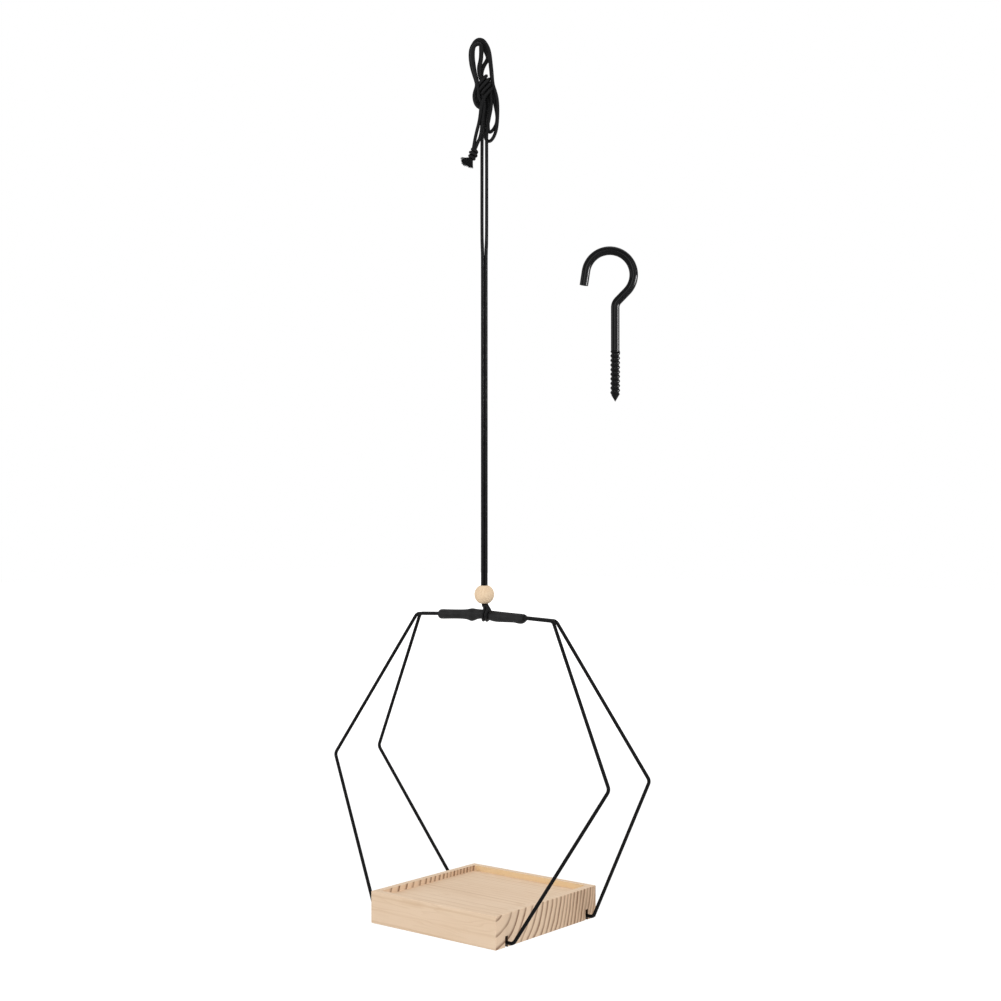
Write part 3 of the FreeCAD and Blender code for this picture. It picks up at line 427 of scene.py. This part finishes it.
braided_black, tree, shader = new_finish("braided_black")
coords = tree.nodes.new("ShaderNodeTexCoord")
axes = tree.nodes.new("ShaderNodeSeparateXYZ")
tree.links.new(coords.outputs["UV"], axes.inputs["Vector"])
yarn_a = sum_of("ADD", axes.outputs["X"], axes.outputs["Y"])
yarn_b = sum_of("SUBTRACT", axes.outputs["X"], axes.outputs["Y"])
crossing = sum_of("ADD", sum_of("FLOOR", yarn_a), sum_of("FLOOR", yarn_b))
over = sum_of("LESS_THAN", sum_of("FLOORED_MODULO", crossing, 4), 1.5)
under = sum_of("SUBTRACT", 1, over)
threads_in_yarn = 3
lay_of_a = sum_of("SINE", sum_of("MULTIPLY", yarn_a, 2 * math.pi * threads_in_yarn))
lay_of_b = sum_of("SINE", sum_of("MULTIPLY", yarn_b, 2 * math.pi * threads_in_yarn))
filaments = sum_of("ADD", sum_of("MULTIPLY", over, lay_of_a), sum_of("MULTIPLY", under, lay_of_b))
dust = grain(tree, coords.outputs["Object"], 240)
# Each thread is painted lighter on its crest and darker between threads: a painted highlight and painted
# shade, mixed with uneven dust.
deep_black = (0.0012, 0.0012, 0.0015)
worn_and_highlit_black = (0.0110, 0.0110, 0.0117)
shade = sum_of("ADD", sum_of("MULTIPLY", filaments, 0.22), dust)
tree.links.new(tint(tree, spread(tree, shade, 0, 1, 0.2, 0.9), deep_black, worn_and_highlit_black),
               shader.inputs["Base Color"])
tree.links.new(spread(tree, dust, 0.40, 0.56), shader.inputs["Roughness"])
shader.inputs["Specular IOR Level"].default_value = 0.10
relief(tree, shader, filaments, 0.35, 0.00008)

hitch_radius = 6.5
strand_aside = 2.44
bight_drawn_in = 0.5
bight_slew = 5
bight_lean = 0.45
lean_height = 6


def share_of(value):
    """A share, which is never under 0 or over 1."""
    return min(max(value, 0), 1)


hitch_half = [
    (-1.38, -1.12, 18.6), (-1.5, -0.8, 15.6), (-1.75, -0.3, 12.6), (-2, 0.1, 10), (-2.2, 1.6, 7.6),
]
for degrees in range(45, -226, -27):
    turned = math.radians(degrees)
    aside = -strand_aside + bight_drawn_in * share_of((-45 - degrees) / 135)
    hitch_half.append((aside, hitch_radius * math.cos(turned), hitch_radius * math.sin(turned)))
hitch_half += [(-2, -4, 6.9), (-1.2, -3.5, 8)]
hitch_route = [(-1.32, -1.07, 21.5)] + hitch_half + [(-x, y, z) for x, y, z in reversed(hitch_half[1:])]
hitch_route += [(1.38, 1.12, 18.6), (1.32, 1.07, 21.5)]
hitch_points = []
for x, y, z in hitch_route:
    lean = bight_lean * min(max(z, 0), lean_height)
    slewed = (bight_slew + lean) * share_of((1.5 - y) / 7) * share_of((11 - z) / 3)
    hitch_points.append((x + slewed, y, z))
bars = Vector((0, 0, sleeve_middle))
hitch_line = cord_line("hitch", [Vector(point) / 1000 + bars for point in hitch_points])
hitch = braid("hitch_braid", hitch_line)
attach(hitch, "hitch")
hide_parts("cord_hitch")

# Bead. A turned and drilled ball of pale hardwood, sanded smooth, that slides on the two strands.
# It rests on the bight of the hitch.

bead_wood, tree, shader = new_finish("turned_bead_wood")
coords = tree.nodes.new("ShaderNodeTexCoord")
layers = grain(tree, stretched((900, 60, 160)), 1, 3.0, 0.6)
blush = grain(tree, stretched((60, 60, 60)), 1, 2.0)
ball = tint(tree, spread(tree, blush, 0, 1), (0.795, 0.600, 0.400), (0.840, 0.655, 0.455))
layered = tint(tree, spread(tree, layers, 0, 0.40), ball, (0.600, 0.400, 0.235))
tree.links.new(layered, shader.inputs["Base Color"])
tree.links.new(spread(tree, layers, 0.42, 0.58), shader.inputs["Roughness"])
shader.inputs["Specular IOR Level"].default_value = 0.28
relief(tree, shader, layers, 0.02, 0.0002)
paint_node("wooden_bead", bead_wood)

# Strands. The two halves of the doubled cord run taut from the bead to the loop knot, side by side
# below and drawn a little apart above. Each is laid in two stretches, because it bends at two places.

sway_height = -198
strand_foot = -547.5
join_height = -148
knot_foot = -92
parting_run = 8
knot_run = 14
strand_share = 1.15
drawn_share = 0.05


def strand_radius(heights):
    """The load draws the parted stretch thinner, from where the strands part to the knot."""
    up = heights * 1000
    parted = np.clip((up - sway_height) / parting_run, 0, 1)
    into_knot = np.clip((up - knot_foot) / knot_run, 0, 1)
    return cord_radius * (strand_share - drawn_share * parted * (1 - into_knot))


above_routes = {
    "left": [
        (-2.35, join_height, 0), (-2.36, -130, 0), (-2.35, -112, 0), (-2.3, -98, 0), (-2.2, -87.5, 0.2),
        (-2.3, -79, 0.4), (-3.1, -70, 0.2), (-3.4, -61, -0.4), (-3.1, -52, 0), (-2.7, -45, 0),
        (-1.8, -38, 0), (-0.9, -33, -0.3),
    ],
    "right": [
        (2.35, join_height, 0), (2.36, -130, 0), (2.35, -112, 0), (2.3, -98, 0), (2.3, -87.5, 0.2),
        (3.3, -79, 0.6), (5.1, -70, 0.6), (6.7, -62, 1), (7.3, -55.5, 2), (6.3, -47.5, 1.6),
        (5, -41, 0.4), (3.8, -36, 0), (2.2, -31.8, -0.4),
    ],
}
for name, side in (("left", -1), ("right", 1)):
    below = [(1.7, strand_foot, 0), (1.7, -541, 0), (1.69, -520, 0), (1.68, -470, 0), (1.69, -420, 0),
             (1.68, -370, 0), (1.69, -320, 0), (1.68, -270, 0), (1.69, -225, 0), (1.72, -206, 0),
             (2.2, -196, 0), (2.36, -180, 0), (2.35, join_height, 0)]
    lower_line = cord_line(f"lower_{name}", [faced(side * out, up, front) for out, up, front in below])
    upper_line = cord_line(f"upper_{name}", [faced(*point) for point in above_routes[name]])
    lower = braid(f"lower_braid_{name}", lower_line, strand_radius)
    upper = braid(f"upper_braid_{name}", upper_line, strand_radius)
    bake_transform(lower)
    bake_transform(upper)
    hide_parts(f"lower_strand_{name}", f"upper_strand_{name}")
    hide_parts(f"neck_{name}")

# Loop knot. The doubled cord is laid in three hanging loops, which run down into the wraps, and the
# outer one runs on past them as a bow of two strands on the right. All of it is the same braid, which
# opens a little where it hangs slack.

knot_routes = {
    "outer_loop": [
        (-3.4, -61.6, 1.4), (-7.2, -60, 1.2), (-10, -54, 1), (-10.4, -47, 0.8), (-7.2, -38.5, 0.4),
        (-9.3, -30, 0), (-12.2, -21, 0), (-13.7, -12, 0), (-13.6, -4, 0), (-11.6, 2.4, 0), (-8.1, 6.8, 0),
        (-4.4, 7.9, 0), (-0.6, 6.4, 0.2), (2.6, 2, 0.6), (5, -6, 1.4), (6, -14, 2), (6.9, -23, 2.8),
        (7.6, -31, 3.4), (8.8, -39, 4), (11.2, -46, 3.8), (13.1, -53.5, 2.4), (13.5, -64, 0.6),
        (13.1, -75, 0.2), (11.9, -84, 0.2), (9, -91, -0.6), (5.4, -94.3, -2.4), (2, -92.4, -5),
        (0.5, -87.5, -6.2), (0.3, -80, -6.2), (1.1, -70, -5.6), (1.7, -61, -4.6), (0.8, -51, -2.9),
        (-0.6, -43.5, -1.5),
    ],
    "middle_loop": [
        (-3.2, -59.4, -1.8), (-6.6, -55.6, -2), (-7.6, -47.6, -2.2), (-6, -39, -2.6), (-8.4, -31, -3.4),
        (-11.2, -21.5, -4.2), (-12.6, -12, -4.3), (-12.4, -4, -3.8), (-10.8, 2.2, -3.2), (-7.8, 6.6, -3),
        (-4, 7.4, -2.9), (-1, 5, -2.7), (0.2, 0.8, -2.6), (1.1, -3.6, -2.6), (2.8, -7, -2.6),
        (3.9, -10.6, -2.6), (1.8, -14.4, -2.7), (-0.9, -18.6, -2.8), (-2.4, -23, -3), (-2.7, -28, -3),
        (-0.6, -33, -3.2), (2.8, -38, -3.2), (4.3, -44, -3), (4.6, -50, -2.9), (4.4, -55, -2.8),
    ],
    "inner_loop": [
        (-1.6, -56.6, 1.8), (-4.7, -53.6, 2.2), (-6, -46, 2.4), (-6.2, -37, 2.6), (-9.6, -25.5, 3.8),
        (-11.5, -15, 4.2), (-11.7, -7, 4), (-11.2, -2.2, 3.6), (-9.6, 0.6, 3.2), (-6.8, 2.2, 2.8),
        (-3.6, 1.8, 2.6), (-3, -2.4, 2.5), (-3, -8, 2.5), (-3.5, -14.5, 2.5), (-5.3, -21, 2.4),
        (-5.2, -29, 2), (-1.8, -37, 1.6), (1.5, -47, 2.4),
    ],
    "bow_inner": [
        (4.9, -34.4, -1.2), (6.6, -39.6, -1), (8.8, -45, -0.6), (10.1, -51, -0.4), (10.5, -57, -0.8),
        (12, -63.5, -2.4), (12.9, -70, -3.3), (12.1, -76.5, -3.3), (9.4, -81.6, -2.6), (6, -85.2, -2.4),
        (4.1, -83.4, -3.2), (3.7, -77, -3.2), (4, -69, -2.9), (4.3, -61, -2.9), (4.2, -54, -2.9),
        (2.4, -48, -2.9),
    ],
    "tail_right": [
        (-1.6, -44, 1.4), (-1.4, -50, 2.6), (-0.4, -57, 3.4), (-0.5, -66, 3.4), (-2, -75.5, 3.8),
        (-2.8, -84, 3.6), (-3.9, -90.5, 3), (-6.7, -96.5, 2.2), (-9.2, -102.4, 1.6), (-11.3, -108, 1.6),
        (-12.4, -112, 1.6),
    ],
}
loop_swells = {"outer_loop": (1.42, -38), "middle_loop": (1.42, -29), "inner_loop": (1.50, -29)}
crown_height = 3
crown_run = 6
foot_run = 9


def slack_radius(swollen_share, foot):
    """The braid opens where a loop hangs slack, from under its crown to its foot."""
    def radius(heights):
        up = heights * 1000
        under_crown = np.clip((crown_height - up) / crown_run, 0, 1)
        over_foot = np.clip((up - foot) / foot_run, 0, 1)
        slack = under_crown * over_foot
        return cord_radius * (even_share + (swollen_share - even_share) * slack)
    return radius


def lay_in_knot(name, route):
    """One stretch of the knot, from its route's points to the finished braid."""
    line = cord_line(name, [faced(*point) for point in route])
    thickness = None
    if name in loop_swells:
        thickness = slack_radius(*loop_swells[name])
    piece = braid(f"{name}_braid", line, thickness)
    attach(piece, "hanger")
    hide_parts(name)


for name, route in knot_routes.items():
    lay_in_knot(name, route)

# Wraps. The working end goes round the loops three times, slanting down to the left across the front,
# and then runs on as the left tail. Below hangs a stop knot, from which both ends come out frayed.

wrap_start = -90
wrap_end = 3 * 360 + 130
wrap_points = 50
wrap_half_width = 4.8
width_gain = 2.8
wrap_half_depth = 5.4
depth_gain = 0.9
slant_right = 0.73
slant_up = 0.68
wrap_route = []
for k in range(wrap_points):
    share = k / (wrap_points - 1)
    turned = math.radians(wrap_start + (wrap_end - wrap_start) * share)
    swell = min(1, 2.2 * share)
    along = (wrap_half_width + width_gain * swell) * math.cos(turned)
    deep = (wrap_half_depth + depth_gain * swell) * math.sin(turned)
    right = -2.2 + 6.6 * share + slant_right * along
    up = -31.5 - 15.5 * share + slant_up * along
    wrap_route.append((right, up, deep))
lay_in_knot("knot_wraps", wrap_route)
tail_route = [
    wrap_route[-1], (-1.4, -55, 5.4), (-3.4, -61.5, 4.6), (-3.9, -68, 3.9), (-5.1, -76, 3.5), (-7.5, -85, 3),
    (-9.5, -93.5, 2.3), (-10.8, -101.6, 1.6),
]
lay_in_knot("tail_left", tail_route)
stop_turns = 2.55
stop_drop = 8.6
stop_lean = 0.3
stop_tilt = 0.28
stop_half_width = 2.1
stop_points = 28
stop_route = []
for k in range(stop_points):
    share = k / (stop_points - 1)
    turned = 2 * math.pi * stop_turns * share
    down = stop_drop * share
    swell = stop_half_width + math.sin(math.pi * share)
    across = swell * math.cos(turned)
    deep = swell * math.sin(turned)
    stop_route.append((-9.8 - stop_lean * down - across, -103.2 - down + stop_tilt * across, 1.6 + deep))
lay_in_knot("stop_knot", stop_route)

# Frayed ends. Below the stop knot the braid of both cut ends has opened into two tufts of loose
# polyester filaments, the left one to the side and the right one down.

fray_black, tree, shader = new_finish("frayed_filaments")
coords = tree.nodes.new("ShaderNodeTexCoord")
dust = grain(tree, coords.outputs["Object"], 700)
dark_filament = (0.0028, 0.0028, 0.0032)
pale_filament = (0.0180, 0.0180, 0.0188)
tree.links.new(tint(tree, spread(tree, dust, 0, 1), dark_filament, pale_filament),
               shader.inputs["Base Color"])
tree.links.new(spread(tree, dust, 0.60, 0.80), shader.inputs["Roughness"])
shader.inputs["Specular IOR Level"].default_value = 0.11
rng = np.random.default_rng(7)
filaments_in_tuft = 220
filament_lengths = (0.0076, 0.0098)
filament_radius = 0.00021
filament_curl = 0.00045
filament_rings = 6
tuft_flare = 0.0033
fray_ends = {
    "left": ((-13.3, -112, 1.6), (-0.92, -0.38, 0), 1.12),
    "right": ((-12.6, -112.6, 1.6), (-0.34, -0.94, 0), 0.94),
}
for name, (root, way, longer) in fray_ends.items():
    base = np.array(faced(*root))
    on = np.array(faced(*way))
    on /= np.linalg.norm(on)
    aside = np.cross(on, front_way)
    aside /= np.linalg.norm(aside)
    ahead = np.cross(on, aside)
    corners = []
    faces = []
    for filament in range(filaments_in_tuft):
        turned = rng.uniform(0, 2 * math.pi)
        out = math.sqrt(rng.uniform(0, 1))
        reach = rng.uniform(*filament_lengths) * longer * (1 - 0.10 * out)
        flare = rng.uniform(0.60, 1.0) * tuft_flare * out
        curl = rng.normal(0, filament_curl, 2)
        start = len(corners)
        for k in range(filament_rings):
            share = k / (filament_rings - 1)
            span = cord_radius * out + flare * share ** 1.3
            middle = base + on * (reach * share)
            middle = middle + aside * (span * math.cos(turned) + curl[0] * share ** 2)
            middle = middle + ahead * (span * math.sin(turned) + curl[1] * share ** 2)
            thick = filament_radius * (1 - 0.35 * share)
            for corner in range(4):
                spun = corner * math.pi / 2 + turned
                corners.append(middle + aside * (thick * math.cos(spun)) + ahead * (thick * math.sin(spun)))
        for k in range(filament_rings - 1):
            for corner in range(4):
                a = start + 4 * k + corner
                b = start + 4 * k + (corner + 1) % 4
                faces.append((a, b, b + 4, a + 4))
        faces.append((start + 3, start + 2, start + 1, start))
        tip = start + 4 * (filament_rings - 1)
        faces.append((tip, tip + 1, tip + 2, tip + 3))
    mesh = bpy.data.meshes.new(f"frayed_tuft_{name}")
    mesh.from_pydata([tuple(corner) for corner in corners], [], faces)
    mesh.shade_smooth()
    mesh.materials.append(fray_black)
    tuft = bpy.data.objects.new(f"frayed_tuft_{name}", mesh)
    bpy.context.scene.collection.objects.link(tuft)
    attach(tuft, "hanger")
    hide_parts(f"frayed_end_{name}")

# Screw hook. A round steel rod with a rolled wood thread and point, bent to a hook and lacquered in
# gloss black, with a dull sawn end. It stands apart, because it goes into the ceiling and the loop
# then hangs on it.

gloss_black, tree, shader = new_finish("gloss_black_lacquer")
coords = tree.nodes.new("ShaderNodeTexCoord")
place = coords.outputs["Object"]
runs = grain(tree, place, 55)
thick_lacquer = (0.0016, 0.0016, 0.0018)
thin_lacquer = (0.0034, 0.0034, 0.0037)
tree.links.new(tint(tree, spread(tree, runs, 0, 1), thick_lacquer, thin_lacquer), shader.inputs["Base Color"])
facing = tree.nodes.new("ShaderNodeSeparateXYZ")
tree.links.new(coords.outputs["Normal"], facing.inputs["Vector"])
cut_end = sum_of("LESS_THAN", facing.outputs["Z"], -0.93)
dulled = sum_of("MAXIMUM", spread(tree, runs, 0.08, 0.12), sum_of("MULTIPLY", cut_end, 0.9))
tree.links.new(dulled, shader.inputs["Roughness"])
shader.inputs["Specular IOR Level"].default_value = 0.08
relief(tree, shader, grain(tree, place, 350), 0.010, 0.0003)
paint_node("screw_hook", gloss_black)

# Studio. A pale floor well below the hanging part, an even white surround and five soft lamps,
# and a level camera to the front right of the part, as high as the middle of the cord.


def looked_at():
    """1 where the camera sees a thing, also mirrored or through glass, and 0 where it only gives light."""
    paths = tree.nodes.new("ShaderNodeLightPath")
    seen = sum_of("MAXIMUM", paths.outputs["Is Camera Ray"], paths.outputs["Is Glossy Ray"])
    return sum_of("MAXIMUM", seen, paths.outputs["Is Transmission Ray"])


floor_height = -1.22
bpy.ops.object.select_all(action="DESELECT")
bpy.ops.mesh.primitive_plane_add(size=24, location=(0, 0, floor_height))
floor = bpy.context.object
floor.name = "floor"
pale_floor, tree, shader = new_finish("pale_floor")
shader.inputs["Base Color"].default_value = (0.82, 0.82, 0.82, 1)
shader.inputs["Roughness"].default_value = 0.9
shader.inputs["Specular IOR Level"].default_value = 0.0
shader.inputs["Emission Color"].default_value = (1, 1, 1, 1)
span = tree.nodes.new("ShaderNodeVectorMath")
span.operation = "LENGTH"
tree.links.new(tree.nodes.new("ShaderNodeTexCoord").outputs["Object"], span.inputs[0])
glow = spread(tree, span.outputs["Value"], 0.46, 0.97, 1.2, 4.5)
tree.links.new(sum_of("MULTIPLY", looked_at(), glow), shader.inputs["Emission Strength"])
floor.data.materials.append(pale_floor)

world = bpy.data.worlds.new("white_surround")
bpy.context.scene.world = world
world.use_nodes = True
tree = world.node_tree
surround = tree.nodes["Background"]
surround.inputs["Color"].default_value = (1, 1, 1, 1)
tree.links.new(spread(tree, looked_at(), 0.53, 1.0, 0, 1), surround.inputs["Strength"])

middle = Vector((0, 0, -0.55))
hook_middle = faced(131, -280, 0)
full_beam = math.pi
for name, aim, way, distance, width, height, power, beam in (
    ("key", middle, Vector((0.55, -1, 0.38)), 1.9, 1.1, 0.8, 10.2, full_beam),
    ("left", middle, Vector((-0.8, -1, 0.35)), 1.9, 1.1, 0.8, 9.3, full_beam),
    ("fill", middle, Vector((1, -0.1, 0.3)), 1.9, 1.2, 1.2, 8, full_beam),
    ("top", middle, Vector((0.1, 0.5, 1.5)), 1.9, 1.4, 1.4, 9.5, full_beam),
    ("hook", hook_middle, right_way + front_way * 0.29, 0.32, 0.12, 0.16, 0.19, math.radians(34)),
):
    lamp = bpy.data.lights.new(name, "AREA")
    lamp.shape = "RECTANGLE"
    lamp.size = width
    lamp.size_y = height
    lamp.energy = power
    lamp.spread = beam
    stand = bpy.data.objects.new(name, lamp)
    bpy.context.scene.collection.objects.link(stand)
    stand.location = aim + way.normalized() * distance
    stand.rotation_euler = (aim - stand.location).to_track_quat("-Z", "Y").to_euler()
    stand.visible_camera = False

camera_distance = 1.626
camera_aside = 0.0162
camera_height = -0.4538
camera_data = bpy.data.cameras.new("camera")
camera_data.sensor_width = 36
camera_data.lens = 58.44
camera = bpy.data.objects.new("camera", camera_data)
bpy.context.scene.collection.objects.link(camera)
camera.location = front_way * camera_distance + right_way * camera_aside + Vector((0, 0, camera_height))
camera.rotation_euler = (math.pi / 2, 0, yaw)
bpy.context.scene.camera = camera
bpy.context.scene.view_settings.view_transform = "Standard"
